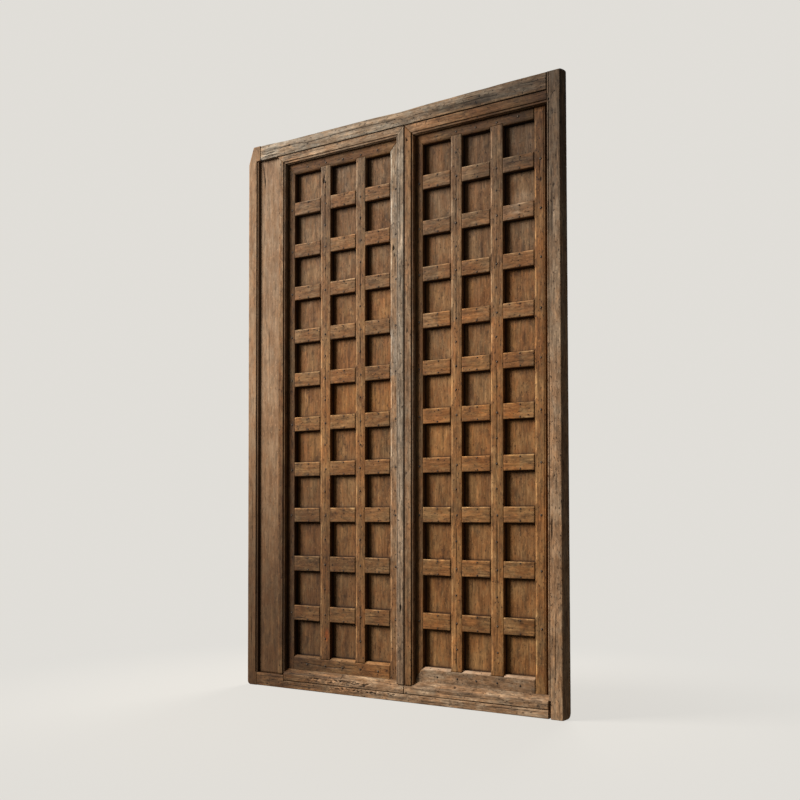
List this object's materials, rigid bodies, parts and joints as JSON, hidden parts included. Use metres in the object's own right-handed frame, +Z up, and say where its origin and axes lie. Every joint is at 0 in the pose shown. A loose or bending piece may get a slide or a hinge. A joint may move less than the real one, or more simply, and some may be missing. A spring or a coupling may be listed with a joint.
{
  "type": "coffered double door in frame",
  "caption": "Weathered timber double door in its frame: hinged leaves of square sunk panels between nailed rails and muntins, edged by raised mouldings, with a fixed side board.",
  "frame": {"origin": "on the underside of the sill, half way across the width and half way through the depth of the frame", "axes": "+Z up, +Y into the wall so that the coffered face looks along -Y, +X to the right as the coffered face is seen"},
  "size_m": [1.5448, 0.0709, 2.4175],
  "materials": {
    "board_brown": "dry, weathered, unvarnished",
    "grid_left": "dry, weathered, unvarnished",
    "grid_right": "dry, weathered, unvarnished",
    "header_grey": "dry, weathered, unvarnished",
    "moulding_brown": "dry, weathered, unvarnished",
    "moulding_grey": "dry, weathered, unvarnished",
    "panel_boards": "dry, weathered, unvarnished",
    "post_brown": "dry, weathered, unvarnished",
    "post_tan": "dry, weathered, unvarnished",
    "sill_brown": "dry, weathered, unvarnished"
  },
  "bodies": {
    "frame": {"header": "header_grey", "left_post": "post_tan", "right_post": "post_brown", "side_board": "board_brown", "sill": "sill_brown"},
    "left_leaf": {"left_back_board_1": "panel_boards", "left_back_board_2": "panel_boards", "left_back_board_3": "panel_boards", "left_band_bottom": "moulding_brown", "left_band_top": "moulding_grey", "left_muntin_1": "grid_left", "left_muntin_2": "grid_left", "left_rail_01": "grid_left", "left_rail_02": "grid_left", "left_rail_03": "grid_left", "left_rail_04": "grid_left", "left_rail_05": "grid_left", "left_rail_06": "grid_left", "left_rail_07": "grid_left", "left_rail_08": "grid_left", "left_rail_09": "grid_left", "left_rail_10": "grid_left", "left_rail_bottom": "grid_left", "left_rail_top": "grid_left", "left_stile_meeting": "grid_left", "left_stile_outer": "grid_left", "left_strip_meeting": "moulding_grey", "left_strip_outer": "moulding_brown"},
    "right_leaf": {"right_back_board_1": "panel_boards", "right_back_board_2": "panel_boards", "right_back_board_3": "panel_boards", "right_band_bottom": "moulding_brown", "right_band_top": "moulding_grey", "right_muntin_1": "grid_right", "right_muntin_2": "grid_right", "right_rail_01": "grid_right", "right_rail_02": "grid_right", "right_rail_03": "grid_right", "right_rail_04": "grid_right", "right_rail_05": "grid_right", "right_rail_06": "grid_right", "right_rail_07": "grid_right", "right_rail_08": "grid_right", "right_rail_09": "grid_right", "right_rail_10": "grid_right", "right_rail_bottom": "grid_right", "right_rail_top": "grid_right", "right_stile_meeting": "grid_right", "right_stile_outer": "grid_right", "right_strip_meeting": "moulding_grey"}
  },
  "joints": [
    {"name": "left_leaf_hinge", "type": "hinge", "parent": "frame", "child": "left_leaf", "pos_m": [-0.604, 0.03, 1.2], "axis": [0, 0, 1], "range_deg": [0, 95]},
    {"name": "right_leaf_hinge", "type": "hinge", "parent": "frame", "child": "right_leaf", "pos_m": [0.7108, 0.03, 1.2], "axis": [0, 0, -1], "range_deg": [0, 95]}
  ]
}
